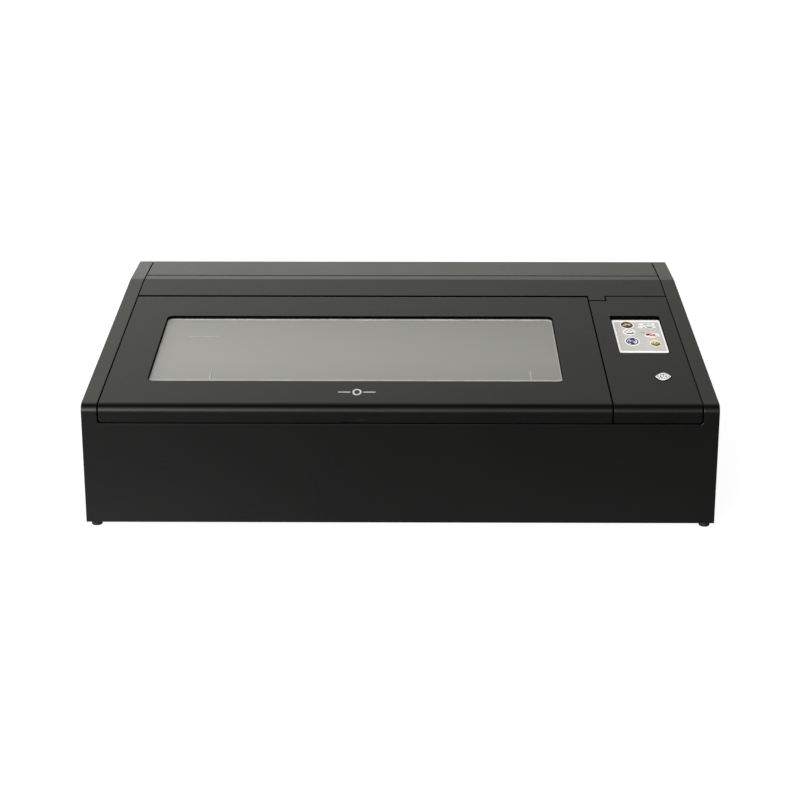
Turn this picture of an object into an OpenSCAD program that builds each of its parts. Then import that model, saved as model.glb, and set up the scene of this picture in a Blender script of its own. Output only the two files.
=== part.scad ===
// Desktop CO2 laser cutter: a wide, low cabinet with a hinged top lid, a fixed
// control panel on the right and a laser tube bay across the rear.
// Frame: millimetres, +Z up, the front faces -Y, the origin is on the ground
// under the centre of the cabinet. Everything is modelled with the lid shut and
// the laser head parked at the rear left.

/* [Cabinet] */
// Overall width across the side panels
cab_w = 1030; // [1020:1:1040]
// Height of the theoretical corner where the sloping top meets the front
front_h = 209; // [208:0.5:210]
// Height of the flat rear deck
rear_h = 262; // [261:0.5:263]
// Height of the rubber feet
foot_h = 7; // [6:0.5:8]
// Diameter of the rubber feet
foot_d = 18; // [14:1:22]
// Thickness of the cabinet skins
skin = 3; // [2.5:0.1:3]
// Radius of the rounded front edge
nose_r = 13; // [11:0.5:15]
// Width of the strip each side panel folds over the top
strip_w = 25.5; // [24:0.5:26]
// Visible gap between neighbouring covers
seam = 2.4; // [1.6:0.1:2.6]

/* [Lid] */
// Right edge of the lid
lid_x1 = 342; // [341:0.1:343]
// Lower edge of the front lip
lip_z = 180; // [179:0.5:181]
// Left edge of the window opening
win_x0 = -421; // [-430:1:-415]
// Right edge of the window opening
win_x1 = 271.5; // [265:1:280]
// Depth of the window glass under the lid surface
win_drop = 4.6; // [4.2:0.1:5]
// Width of the finger notch in the lip
notch_w = 43; // [36:1:50]
// Height of the finger notch
notch_h = 8.5; // [7:0.5:10]

/* [Control panel] */
// Width of the screen opening
scr_w = 89.5; // [84:0.5:90]
// Depth of the display glass under the panel
scr_drop = 6.4; // [6:0.1:7]
// Width of the start button
btn_w = 26.8; // [26:0.2:32]
// Length of the start button
btn_l = 33; // [30:0.5:44]

/* [Motion] */
// Radius of the belt pulleys at the belt
pulley_r = 8; // [8:0.5:8]
// Radius of the shaft that turns both front to back belts
shaft_r = 4; // [3:0.5:4]

/* [Services] */
// Radius of the exhaust port bore
port_r = 50; // [48:0.5:50]
// Radius of the glass laser tube
tube_r = 27.5; // [25:0.5:27.5]

/* [Hidden] */
$fn = 48;
NODES = ["outer_shell", "base_pan", "rear_panel", "tube_cover", "hinge_cover", "control_panel",
         "display_glass", "display_module", "button_housing", "feet", "inner_tub", "crumb_tray",
         "bed_frame", "honeycomb", "y_rails", "y_belts", "y_motor", "shaft_bearings",
         "idler_brackets", "laser_tube", "tube_end_caps", "tube_clamps", "mirror_1_mount",
         "hv_supply", "water_tank", "radiator", "exhaust_duct", "exhaust_fan_frame",
         "exhaust_port", "rear_ports", "dc_supply", "main_board", "hinge_brackets",
         "cover_screws", "lid_frame", "lid_window", "window_trim", "lid_inner_frame", "lid_seal",
         "hinge_leaves", "lid_light_bar", "x_beam", "y_carriages", "x_motor",
         "x_belt", "mirror_2_mount", "x_drive_pulley", "x_idler_pulley", "head_carriage",
         "mirror_3_housing", "lens_tube", "focus_knob", "y_drive_shaft", "y_idlers",
         "exhaust_fan_rotor", "radiator_fan_rotor", "start_button", "button_spring",
         "power_switch"];
node = "all";

black = [0.10, 0.10, 0.10];
dark = [0.27, 0.27, 0.26];
rail_grey = [0.2, 0.2, 0.2];
vent_grey = [0.3, 0.3, 0.3];
bracket_grey = [0.35, 0.35, 0.36];
cast_grey = [0.5, 0.51, 0.52];
grey = [0.62, 0.62, 0.60];
steel = [0.72, 0.73, 0.74];
pale = [0.85, 0.85, 0.83];

// ---- cabinet ----
half_w = cab_w/2;
cab_d = 740;
front_y = -cab_d/2;
rear_y = cab_d/2;
flat_y = 232;                   // where the slope meets the flat rear deck
rise = (rear_h - front_h)/(flat_y - front_y);
tilt = atan(rise);
sheet = 2;                      // thickness of inner sheets and turned-down edges
fit = .2;                       // clearance between nested parts
floor_z = 9.2;                  // where the parts inside stand
strip_x = half_w - strip_w;     // inner edge of the side strips
cover_x1 = strip_x - seam;      // right edge of the panel and rear covers
lid_x0 = -cover_x1;
panel_x0 = lid_x1 + 2.6;
lid_mid_x = (lid_x0 + lid_x1)/2;
tube_cover_y = 262.5;           // front edge of the tube cover
rear_gap = 4.2;                 // gap in front of it
cover_foot_z = 180;             // lower edge of the tube cover at the rear
screw_xs = [-440, -220, 0, 220, 440];
screw_z = 192;

// ---- lid hinge ----
hinge_r = 9;                    // radius of the lid's rolled rear edge
hinge_y = 134;
hinge_s = (hinge_y - front_y - hinge_r*sin(tilt))/cos(tilt);
hinge_z = front_h + hinge_s*sin(tilt) - hinge_r*cos(tilt);
hinge_xs = [-400, 255];
hinge_cover_y = hinge_y + hinge_r + 1;    // front edge of the hinge cover
tab_x1 = 374.7;                 // tab of the hinge cover beside the lid
tab_y = 121;
panel_gap = 4.6;                // gap behind the control panel

// ---- profile of the top, seen from the side, as [y, z] points ----
// inset is measured square to the outer face
function top_z(y, inset=0) = front_h + rise*(y - front_y) - inset/cos(tilt);
function bend_y(inset) = front_y + (rear_h - inset - front_h + inset/cos(tilt))/rise;
function arc(centre, r, a0, a1, n) =
    [for (i = [0:n]) centre + r*[cos(a0 + (a1-a0)*i/n), sin(a0 + (a1-a0)*i/n)]];
function reversed(list) = [for (i = [len(list)-1:-1:0]) list[i]];

nose_centre = [front_y + nose_r, top_z(front_y + nose_r, nose_r)];
// round the nose and down the front to foot_z
function front_edge(inset, foot_z) =
    concat(arc(nose_centre, nose_r - inset, 90 + tilt, 180, 12), [[front_y + inset, foot_z]]);
function slope_run(inset, y1, foot_z) =
    concat([[y1, top_z(y1, inset)]], front_edge(inset, foot_z));
function full_run(inset, foot_z) = concat(
    [[rear_y, rear_h - inset], [bend_y(inset), rear_h - inset]],
    front_edge(inset, foot_z));
// strip of the slope between two insets
function slope_band(y0, y1, inset0, inset1) =
    [[y0, top_z(y0, inset0)], [y1, top_z(y1, inset0)],
     [y1, top_z(y1, inset1)], [y0, top_z(y0, inset1)]];
function round_rect(x0, y0, x1, y1, r, n=6) = concat(
    arc([x1-r, y1-r], r, 0, 90, n), arc([x0+r, y1-r], r, 90, 180, n),
    arc([x0+r, y0+r], r, 180, 270, n), arc([x1-r, y0+r], r, 270, 360, n));

// ---- solids placed by their limits ----
module box(x0, x1, y0, y1, z0, z1) {
    translate([x0, y0, z0]) cube([x1-x0, y1-y0, z1-z0]);
}
module x_cyl(r, x0, x1, y, z) {
    translate([x0, y, z]) rotate([0, 90, 0]) cylinder(r=r, h=x1-x0);
}
module y_cyl(r, y0, y1, x, z) {
    translate([x, y1, z]) rotate([90, 0, 0]) cylinder(r=r, h=y1-y0);
}
module z_cyl(r, z0, z1, x, y) {
    translate([x, y, z0]) cylinder(r=r, h=z1-z0);
}
// extrusions of a [y, z] outline along X and of an [x, z] outline along Y
module x_prism(x0, x1) {
    translate([x0, 0, 0]) rotate([90, 0, 90]) linear_extrude(x1 - x0) children();
}
module y_prism(y0, y1) {
    translate([0, y1, 0]) rotate([90, 0, 0]) linear_extrude(y1 - y0) children();
}

// Slope frame: x, s up the slope from its front corner, n out of the surface
function slope_s(y) = (y - front_y)/cos(tilt);
module on_slope() {
    translate([0, front_y, front_h]) rotate([tilt, 0, 0]) children();
}
module slope_box(x0, x1, s0, s1, n0, n1) {
    on_slope() box(x0, x1, s0, s1, n0, n1);
}
// the default limits cut right through the top
module slope_prism(outline, n0=-20, n1=5) {
    on_slope() translate([0, 0, n0]) linear_extrude(n1 - n0) polygon(outline);
}
root_n = -1;                    // top of parts that merge with the skin
edge_s0 = 16;                   // front end of the turned-down edges
edge_n = -21.7;                 // foot of the edges either side of the seams

// Parts in mirrored pairs about the lid's centre: side 0 is left, 1 is right
sides = [0, 1];
function mirrored(x) = 2*lid_mid_x - x;
module side_box(side, x0, x1, y0, y1, z0, z1) {
    box(side == 0 ? x0 : mirrored(x1), side == 0 ? x1 : mirrored(x0), y0, y1, z0, z1);
}
module side_cyl(side, r, x0, x1, y, z) {
    x_cyl(r, side == 0 ? x0 : mirrored(x1), side == 0 ? x1 : mirrored(x0), y, z);
}

// Cutter that rounds a corner to radius r about the origin, in the quadrant
// given by the signs
module corner_cut(r, h, sign_x=1, sign_y=1) {
    size = r + 2;
    difference() {
        translate([sign_x < 0 ? -size : 0, sign_y < 0 ? -size : 0, 0]) cube([size, size, h]);
        translate([0, 0, -1]) cylinder(r=r, h=h + 2);
    }
}
// rounds a lower corner of the front lip
module lip_corner_cut(x, sign_x) {
    translate([x, front_y - 1, lip_z + 4]) rotate([-90, 0, 0]) corner_cut(4, 20, sign_x);
}

// ---- window, screen and button ----
win_s0 = slope_s(-267);
win_s1 = slope_s(36);
glass_t = 4;                    // window glass thickness
scr_s0 = slope_s(-144);
scr_s1 = slope_s(39.5);
scr_x0 = 374.3;
btn_centre = [437.5, slope_s(-246.9)];
function window_rect(grow, r) =
    round_rect(win_x0 - grow, win_s0 - grow, win_x1 + grow, win_s1 + grow, r);
function screen_rect(grow, r) =
    round_rect(scr_x0 - grow, scr_s0 - grow, scr_x0 + scr_w + grow, scr_s1 + grow, r);
// eye shape of the button, leaning a little
function eye(half_width, half_length) = [
    for (i = [0:47])
    let (angle = i*7.5,
         y = half_length*sign(sin(angle))*(1 - pow(abs(cos(angle)), 1.9)))
    [half_width*cos(angle) + .12*y, y] + btn_centre];

// ---- work chamber ----
tub_x0 = -470;
tub_x1 = 326;
tub_y0 = -350;
tub_y1 = 118;
deck_n = -22;                   // deck surface, under the lid surface
bed_x0 = -392;
bed_x1 = 248;
bed_y0 = -340;
bed_y1 = 60;
bed_top = 70;

// ---- motion system ----
rail_x = -466;                  // left edge of the left rail
rail_w = 24;
rail_y0 = -322;
rail_y1 = 96;
y_axis_z = 122;                 // front to back belt axis height
shaft_y = 106;
idler_y = -336;
belt_x0 = -440;                 // left belt
belt_x1 = -434;
belt_t = 1.4;
belt_r = pulley_r + belt_t;     // outside of a belt on its pulley
wheel_r = pulley_r - .1;
flange_r = pulley_r + 2.2;
x_belt_y = 78;
x_belt_z0 = 154.2;
x_belt_z1 = 160.2;
x_drive_x = 262;
x_idler_x = -411;

// ---- laser beam ----
beam_x = -440;                  // front to back leg of the beam
beam_z = 160;
beam_bore_r = 8;
tube_y = 300;
lens_x = -372;
lens_y = 36;
knob_z = 131;

// ---- services ----
fan_x = -180;                   // exhaust fan axis
fan_z = 84;
radiator_x = 150;
radiator_fan_z = 97;
// rear openings, [x0, x1, z0, z1]: power inlet, then sockets
inlet_hole = [396, 464, 30.5, 76.5];
socket_hole = [300, 370, 30.5, 56.5];

// ================= cabinet =================
module outer_shell() {
    slot_count = 12;
    strip_foot_z = lip_z - 8;
    color(dark) difference() {
        union() {
            for (side = [-1, 1]) {
                wall_x = side < 0 ? -half_w : half_w - skin;
                x_prism(wall_x, wall_x + skin)
                    polygon(concat(full_run(0, foot_h), [[rear_y, foot_h]]));
                fold_x = side < 0 ? -half_w : strip_x;
                x_prism(fold_x, fold_x + strip_w) polygon(concat(
                    full_run(0, strip_foot_z), reversed(full_run(skin, strip_foot_z))));
            }
            y_prism(front_y, front_y + skin) difference() {
                polygon([[-half_w, foot_h], [half_w, foot_h],
                         [half_w, nose_centre[1]], [-half_w, nose_centre[1]]]);
                polygon(round_rect(-strip_x, lip_z - seam, strip_x, 300, 5));
            }
            // turned-down edge beside the lid
            slope_box(-strip_x - sheet, -strip_x, edge_s0, slope_s(hinge_cover_y),
                      edge_n, root_n);
        }
        // cooling slots low on both sides, behind the middle
        for (side = [-1, 1], i = [0:slot_count-1])
            box(side*half_w - 5, side*half_w + 5, 150 + i*14, 156 + i*14, 60, 130);
    }
}

module base_pan() {
    x1 = half_w - skin - fit;
    y0 = front_y + skin + fit;
    y1 = rear_y - skin - fit;
    rim_z = foot_h + 14;
    color(dark) difference() {
        union() {
            box(-x1, x1, y0, y1, foot_h, foot_h + sheet);
            box(-x1, x1, y0, y0 + sheet, foot_h, rim_z);
            for (rim_x = [-x1, x1 - sheet]) box(rim_x, rim_x + sheet, y0, y1, foot_h, rim_z);
        }
        for (i = [0:9]) box(360 + i*12, 366 + i*12, 20, 90, 0, 20);
    }
}

module rear_hole(hole) {
    box(hole[0], hole[1], rear_y - 10, rear_y + 10, hole[2], hole[3]);
}

module rear_panel() {
    x1 = half_w - skin - fit;
    ear_x = strip_x + .1;       // inner edge of the upper ears
    top = rear_h - 3.4;
    notch_z = cover_foot_z - 2;
    color(dark) difference() {
        y_prism(rear_y - skin, rear_y) polygon([
            [-x1, foot_h], [x1, foot_h], [x1, top], [ear_x, top], [ear_x, notch_z],
            [-ear_x, notch_z], [-ear_x, top], [-x1, top]]);
        y_cyl(56, rear_y - 10, rear_y + 10, fan_x, fan_z);
        rear_hole(inlet_hole);
        rear_hole(socket_hole);
        for (i = [0:8])
            rear_hole([radiator_x - 60, radiator_x + 60, 42 + i*13, 48 + i*13]);
    }
}

// turned-down edge at the seam between the hinge cover and the tube cover
module rear_seam_edge(y0) {
    box(lid_x0, cover_x1, y0, y0 + sheet, rear_h - 16, rear_h - 1);
}

module tube_cover() {
    color(dark) difference() {
        union() {
            box(lid_x0, cover_x1, tube_cover_y, rear_y - skin, rear_h - skin, rear_h);
            box(lid_x0, cover_x1, rear_y - skin, rear_y, cover_foot_z, rear_h);
            rear_seam_edge(tube_cover_y);
        }
        // countersunk screw holes
        for (x = screw_xs) {
            y_cyl(2.1, rear_y - 10, rear_y + 10, x, screw_z);
            y_cyl(3.9, rear_y - 1.4, rear_y + 10, x, screw_z);
        }
    }
}

module cover_screws() {
    color(steel) for (x = screw_xs) union() {
        y_cyl(2, rear_y - 14, rear_y - 1.3, x, screw_z);
        difference() {
            y_cyl(3.7, rear_y - 1.35, rear_y - .1, x, screw_z);
            y_cyl(1.4, rear_y - .8, rear_y + 1, x, screw_z);
        }
    }
}

module hinge_cover() {
    y0 = hinge_cover_y;
    y1 = tube_cover_y - rear_gap;
    color(dark) union() {
        x_prism(lid_x0, cover_x1) polygon([
            [y0, top_z(y0)], [flat_y, rear_h], [y1, rear_h],
            [y1, rear_h - skin], [bend_y(skin), rear_h - skin], [y0, top_z(y0, skin)]]);
        // tab beside the lid's rear corner
        difference() {
            x_prism(panel_x0, tab_x1) polygon(slope_band(tab_y, y0 + 1, 0, skin));
            translate([tab_x1 - 4, tab_y + 4, 200]) corner_cut(4, 90, 1, -1);
        }
        // turned-down edges at the lid and at the rear seam
        x_prism(lid_x0, panel_x0 - 4) polygon(slope_band(y0, y0 + sheet, 1, 21.6));
        rear_seam_edge(y1 - sheet);
    }
}

module feet() {
    chamfer = 1.2;
    color(black) for (x = [-499, 500], y = [-360, 360]) translate([x, y, 0]) {
        cylinder(r1=foot_d/2 - 1, r2=foot_d/2, h=chamfer);
        translate([0, 0, chamfer]) cylinder(r=foot_d/2, h=foot_h - chamfer);
    }
}

// ================= control panel =================
module control_panel() {
    y1 = hinge_cover_y - panel_gap;
    color(dark) difference() {
        union() {
            x_prism(panel_x0, cover_x1) polygon(concat(
                slope_run(0, y1, lip_z), reversed(slope_run(skin, y1, lip_z))));
            // thick border around the screen opening
            slope_prism(screen_rect(12, 10), -scr_drop + .2, root_n);
            slope_box(panel_x0, panel_x0 + sheet, edge_s0, slope_s(tab_y) - 9, edge_n, root_n);
        }
        slope_prism(screen_rect(0, 4));
        slope_prism(eye(btn_w/2 + 1.5, btn_l/2 + 3.2));
        // room for the hinge cover's tab
        box(panel_x0 - 5, tab_x1 + seam, tab_y - panel_gap, hinge_cover_y + 5, 200, 290);
        lip_corner_cut(cover_x1 - 4, 1);
    }
}

module display_glass() {
    color([0.9, 0.9, 0.88]) slope_prism(screen_rect(8, 4), -scr_drop - 2, -scr_drop);
}

module display_module() {
    color(black) slope_prism(screen_rect(6, 3), -scr_drop - 14, -scr_drop - 2.1);
}

module at_button(n) {
    on_slope() translate([btn_centre[0], btn_centre[1], n]) children();
}

module start_button() {
    color(steel) union() {
        slope_prism(eye(btn_w/2, btn_l/2), -2.6, .8);
        // stem and retaining collar
        at_button(-16) cylinder(r=5, h=14);
        at_button(-17.5) cylinder(r=6.4, h=2);
    }
}

module button_housing() {
    bottom_n = -22;
    color(black) difference() {
        at_button(bottom_n) linear_extrude(-bottom_n - 3.1) square([44, 62], center=true);
        at_button(-30) cylinder(r=5.05, h=40);
        slope_prism(eye(btn_w/2 + 2, btn_l/2 + 3.8), -6.2);
        // collar bore below, spring pocket above
        at_button(-30) cylinder(r=7, h=17.4);
        at_button(-10.4) cylinder(r=8.4, h=10);
    }
}

// the spring as three stacked rings
module button_spring() {
    color(steel) for (i = [0:2])
        at_button(-9.7 + i*1.7) rotate_extrude() translate([6.8, 0]) circle(r=.6);
}

// ================= lid =================
function lid_rect(inset, s1, r) =
    round_rect(lid_x0 + inset, 18 + inset, lid_x1 - inset, s1, r);
function hinge_roll(inset) =
    arc([hinge_y, hinge_z], hinge_r - inset, 25, 90 + tilt, 8);

// shallow arch in the lower edge of the lip, closed just below it
module finger_notch() {
    y_prism(front_y - 5, front_y + 10) translate([lid_mid_x, lip_z]) polygon([
        for (i = [0:24]) let (angle = i*7.5)
        [notch_w/2*cos(angle), (i == 0 || i == 24 ? -1 : 0) + notch_h*sin(angle)]]);
}

module lid_frame() {
    color(dark) difference() {
        union() {
            difference() {
                x_prism(lid_x0, lid_x1) polygon(concat(
                    hinge_roll(0), front_edge(0, lip_z),
                    reversed(front_edge(skin, lip_z)), reversed(hinge_roll(skin))));
                // rounded rear right corner
                on_slope() translate([lid_x1 - 6, hinge_s + 2, -30]) corner_cut(6, 40);
            }
            slope_prism(window_rect(16, 20), -win_drop + .1, root_n);
            for (x = [lid_x0, lid_x1 - sheet])
                slope_box(x, x + sheet, edge_s0, 492, -12, root_n);
        }
        slope_prism(window_rect(0, 12));
        finger_notch();
        lip_corner_cut(lid_x0 + 4, -1);
    }
}

module lid_window() {
    color([0.6, 0.6, 0.58, 0.8])
        slope_prism(window_rect(14, 14), -win_drop - glass_t, -win_drop);
}

module window_trim() {
    color([0.75, 0.75, 0.73]) difference() {
        slope_prism(window_rect(-.3, 11.7), -win_drop, -win_drop + .8);
        // leaves a wide band in front, thin ones at the sides and none behind
        slope_prism(round_rect(win_x0 + 1.2, win_s0 + 15.5, win_x1 - 1.2, win_s1 + 20, 10.4));
    }
}

module lid_inner_frame() {
    color(black) difference() {
        slope_prism(lid_rect(8, 480, 10), -18, -win_drop - glass_t - .1);
        slope_prism(window_rect(6, 12), -30);
        // relief over the hinge leaves
        for (x = hinge_xs) slope_box(x - 26, x + 26, 460, 492, -30, 5);
    }
}

module lid_seal() {
    color(black) difference() {
        slope_prism(lid_rect(9, 456, 10), -21.9, -18.1);
        slope_prism(lid_rect(15, 450, 6), -30);
    }
}

module hinge_leaves() {
    half_l = 22;
    knuckle_l = 14;
    leaf_n0 = -6.4;
    leaf_n1 = -3.6;
    color(steel) for (x = hinge_xs) union() {
        x_cyl(2.4, x - half_l, x + half_l, hinge_y, hinge_z);
        for (knuckle_x = [x - half_l, x + half_l - knuckle_l]) {
            x_cyl(5.8, knuckle_x, knuckle_x + knuckle_l, hinge_y, hinge_z);
            slope_box(knuckle_x, knuckle_x + knuckle_l, hinge_s - 9, hinge_s, leaf_n0, leaf_n1);
        }
        slope_box(x - half_l, x + half_l, hinge_s - 44, hinge_s - 8.5, leaf_n0, leaf_n1);
    }
}

module hinge_brackets() {
    half_l = 7.5;
    color(steel) for (x = hinge_xs) difference() {
        union() {
            x_cyl(5.6, x - half_l, x + half_l, hinge_y, hinge_z);
            box(x - half_l, x + half_l, hinge_y - 3.5, hinge_y + 3.5,
                top_z(hinge_y, -deck_n) + .5, hinge_z);
        }
        x_cyl(2.5, x - 30, x + 30, hinge_y, hinge_z);
    }
}

module lid_light_bar() {
    color(pale) slope_prism(round_rect(-380, 436, 230, 448, 3), -24, -18.1);
}

// ================= work chamber =================
module chamber_space() {
    box(tub_x0, tub_x1, tub_y0, tub_y1, 20, 400);
}

module inner_tub() {
    y0 = tub_y0 - sheet;
    y1 = tub_y1 + sheet;
    bottom = 18;
    deck_x1 = 343;
    color(grey) difference() {
        union() {
            difference() {
                x_prism(tub_x0 - sheet, tub_x1 + sheet) polygon([
                    [y0, bottom], [y1, bottom], [y1, top_z(y1, -deck_n)],
                    [y0, top_z(y0, -deck_n)]]);
                chamber_space();
            }
            // deck around the chamber, parallel to the lid
            difference() {
                slope_box(-511.5, deck_x1, slope_s(-364), slope_s(156), deck_n - sheet, deck_n);
                chamber_space();
            }
            // wall behind the chamber, then its four feet
            box(-486, deck_x1, 150, 150 + sheet, floor_z, 231.8);
            for (x = [tub_x0 + 10, tub_x1 - 30], y = [tub_y0 + 10, tub_y1 - 30])
                box(x, x + 20, y, y + 20, floor_z - .1, 19);
        }
        // air outlet, beam passage and shaft passage
        box(fan_x - 56, fan_x + 56, 110, 160, 34, 106);
        y_cyl(9, 110, 160, beam_x, beam_z);
        x_cyl(7, tub_x1 - 5, tub_x1 + 10, shaft_y, y_axis_z);
    }
}

// block inside the bed's outline
module bed_block(inset, z0, z1) {
    box(bed_x0 + inset, bed_x1 - inset, bed_y0 + inset, bed_y1 - inset, z0, z1);
}

module crumb_tray() {
    color(steel) difference() {
        bed_block(10, 20.2, 34);
        bed_block(12, 22, 60);
    }
}

module bed_frame() {
    bottom = bed_top - 16;
    bays = 6;
    color([0.55, 0.56, 0.57]) union() {
        difference() {
            bed_block(0, bottom, bed_top);
            bed_block(10, 0, 200);
        }
        // cross bars under the honeycomb
        for (i = [1:bays-1]) {
            y = bed_y0 + i*(bed_y1 - bed_y0)/bays;
            box(bed_x0 + 5, bed_x1 - 5, y - 1, y + 1, bottom, bed_top - 10);
        }
        for (x = [bed_x0 + 1, bed_x1 - 7], y = [bed_y0 + 1, bed_y1 - 7])
            box(x, x + 6, y, y + 6, 20.1, bottom + 1);
    }
}

module honeycomb() {
    color([0.75, 0.76, 0.77]) bed_block(10.2, bed_top - 9.9, bed_top - .4);
}

// ================= front to back drive =================
module y_rails() {
    color(rail_grey) for (side = sides) union() {
        difference() {
            side_box(side, rail_x, rail_x + rail_w, rail_y0, rail_y1, 100, 124);
            // grooves in the inner face and underneath
            side_box(side, rail_x + 19, rail_x + 26, rail_y0 - 3, rail_y1 + 4, 108, 116);
            side_box(side, rail_x + 8, rail_x + 16, rail_y0 - 3, rail_y1 + 4, 98, 105);
        }
        // raised guide, then mounting blocks to the tub wall
        side_box(side, rail_x + 6, rail_x + 18, rail_y0, rail_y1, 123, 132);
        for (y = [-300, -120, 60])
            side_box(side, tub_x0 + (side == 0 ? .1 : 0), rail_x + 1, y, y + 20, 101, 119);
    }
}

module y_belts() {
    color(black) for (side = sides) union() {
        for (z = [y_axis_z + pulley_r, y_axis_z - belt_r])
            side_box(side, belt_x0, belt_x1, idler_y, shaft_y, z, z + belt_t);
        // half turns around the pulleys
        for (end_y = [idler_y, shaft_y]) difference() {
            side_cyl(side, belt_r, belt_x0, belt_x1, end_y, y_axis_z);
            side_cyl(side, pulley_r, belt_x0 - 1, belt_x1 + 1, end_y, y_axis_z);
            cut_y = end_y == idler_y ? end_y : end_y - 20;
            side_box(side, belt_x0 - 1, belt_x1 + 1, cut_y, cut_y + 20,
                     y_axis_z - 20, y_axis_z + 20);
        }
    }
}

module y_pulley(side, y) {
    side_cyl(side, wheel_r, belt_x0 - .3, belt_x1 + .3, y, y_axis_z);
    side_cyl(side, flange_r, belt_x0 - 1.5, belt_x0 - .2, y, y_axis_z);
    side_cyl(side, flange_r, belt_x1 + .2, belt_x1 + 1.5, y, y_axis_z);
}

module y_drive_shaft() {
    color(steel) union() {
        x_cyl(shaft_r, -466, 340, shaft_y, y_axis_z);
        for (side = sides) y_pulley(side, shaft_y);
        // coupling to the motor, with holes for its two clamp screws
        difference() {
            x_cyl(9, 331, 344.6, shaft_y, y_axis_z);
            for (x = [335, 341]) z_cyl(1.6, y_axis_z + 5, y_axis_z + 12, x, shaft_y);
        }
    }
}

module y_idlers() {
    color(steel) for (side = sides) difference() {
        y_pulley(side, idler_y);
        side_cyl(side, 2.55, belt_x0 - 5, belt_x1 + 5, idler_y, y_axis_z);
    }
}

module idler_brackets() {
    pin_x1 = -430.4;
    color(bracket_grey) for (side = sides) union() {
        side_box(side, tub_x0 + .6, -443, -349, -323, 104, 134);
        side_cyl(side, 2.5, -444, pin_x1, idler_y, y_axis_z);
        side_cyl(side, 4.5, -432, pin_x1, idler_y, y_axis_z);
    }
}

module shaft_bearings() {
    color(bracket_grey) for (side = sides) difference() {
        side_box(side, tub_x0 + .6, -449.8, 98, 115, 108, 134);
        side_cyl(side, shaft_r + .1, tub_x0 - 5, -440, shaft_y, y_axis_z);
    }
}

module y_motor() {
    half = 21;
    color(black) union() {
        box(345, 385, shaft_y - half, shaft_y + half, y_axis_z - half, y_axis_z + half);
        box(348, 382, shaft_y - 15, shaft_y + 15, floor_z, y_axis_z - 20);
    }
}

// ================= gantry =================
module x_beam() {
    left = -464;
    color(rail_grey) difference() {
        union() {
            box(left, mirrored(left), 66, 94, 134.1, 152);
            // guide the head slides on
            box(-398, 252, 60, 67, 139, 148);
        }
        box(left - 2, 320, 90, 96, 139, 147);
        z_cyl(6, 130, 160, x_drive_x, x_belt_y);
    }
}

module y_carriages() {
    top = 134;
    color(cast_grey) for (side = sides) difference() {
        union() {
            side_box(side, rail_x + 1, rail_x + 23, 55, 95, 126, top);
            side_box(side, rail_x + 20, belt_x1 + 1, 66, 94, 131.6, top);
        }
        side_box(side, rail_x + 5.7, rail_x + 18.3, 50, 100, 120, 132.3);
    }
}

module x_motor() {
    half = 21;
    color(black) difference() {
        box(x_drive_x - half, x_drive_x + half, x_belt_y - half, x_belt_y + half, 94, 134);
        z_cyl(6, 128, 140, x_drive_x, x_belt_y);
    }
}

module x_belt() {
    color(black) union() {
        for (y = [x_belt_y - belt_r, x_belt_y + pulley_r])
            box(x_idler_x, x_drive_x, y, y + belt_t, x_belt_z0, x_belt_z1);
        for (end_x = [x_idler_x, x_drive_x]) difference() {
            z_cyl(belt_r, x_belt_z0, x_belt_z1, end_x, x_belt_y);
            z_cyl(pulley_r, x_belt_z0 - 1, x_belt_z1 + 1, end_x, x_belt_y);
            cut_x = end_x == x_idler_x ? end_x : end_x - 20;
            box(cut_x, cut_x + 20, x_belt_y - 20, x_belt_y + 20, 140, 180);
        }
    }
}

// pulley on a pin that starts at pin_z0
module x_pulley(x, pin_z0) {
    color(steel) union() {
        z_cyl(wheel_r, x_belt_z0 - .3, x_belt_z1 + .3, x, x_belt_y);
        z_cyl(flange_r, x_belt_z0 - 1.4, x_belt_z0 - .2, x, x_belt_y);
        z_cyl(flange_r, x_belt_z1 + .2, x_belt_z1 + 1.4, x, x_belt_y);
        z_cyl(2.5, pin_z0, 164, x, x_belt_y);
    }
}
module x_drive_pulley() {
    x_pulley(x_drive_x, 129);
}
module x_idler_pulley() {
    x_pulley(x_idler_x, 152.3);
}

// cube with a 45 degree mirror face, bored for the beam along Y and to +X
module mirror_cube(y, bore_y0, angle) {
    size = 34;
    difference() {
        translate([beam_x - size/2, y - size/2, beam_z - size/2]) cube(size);
        y_cyl(beam_bore_r, bore_y0, bore_y0 + 30, beam_x, beam_z);
        x_cyl(beam_bore_r, beam_x, beam_x + 40, y, beam_z);
        translate([beam_x, y, beam_z - 40]) rotate([0, 0, angle])
            translate([-40, 12, 0]) cube([80, 40, 80]);
    }
}

module mirror_1_mount() {
    color(cast_grey) union() {
        mirror_cube(tube_y, tube_y - 30, 45);
        box(beam_x - 10, beam_x + 10, 290, 306, floor_z, beam_z - 16);
    }
}

module mirror_2_mount() {
    y0 = lens_y + 16;
    y1 = 65.9;                  // just clear of the beam's front face
    top = 151;
    color(cast_grey) union() {
        mirror_cube(lens_y, lens_y, 135);
        // two arms and a plate against the beam
        box(-455, -449.5, y0, y1, 143.2, top);
        box(-455, -425, 60, y1, 136, top);
        box(-430.5, -425, y0, y1, 143.2, top);
    }
}

// ================= head =================
module head_part(half_width, y0, y1, z0, z1) {
    box(lens_x - half_width, lens_x + half_width, y0, y1, z0, z1);
}

module head_carriage() {
    color([0.3, 0.3, 0.31]) difference() {
        union() {
            head_part(22, 53, 65.8, 134.3, 153.4);
            head_part(12, 53, 72, 152.2, 153.6);
            // two jaws either side of the belt's front run
            head_part(12, 66.2, 68.4, 153, 161);
            head_part(12, 70.2, 72, 153, 161);
        }
        head_part(30, 59.7, 70, 138.7, 148.3);
    }
}

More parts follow.
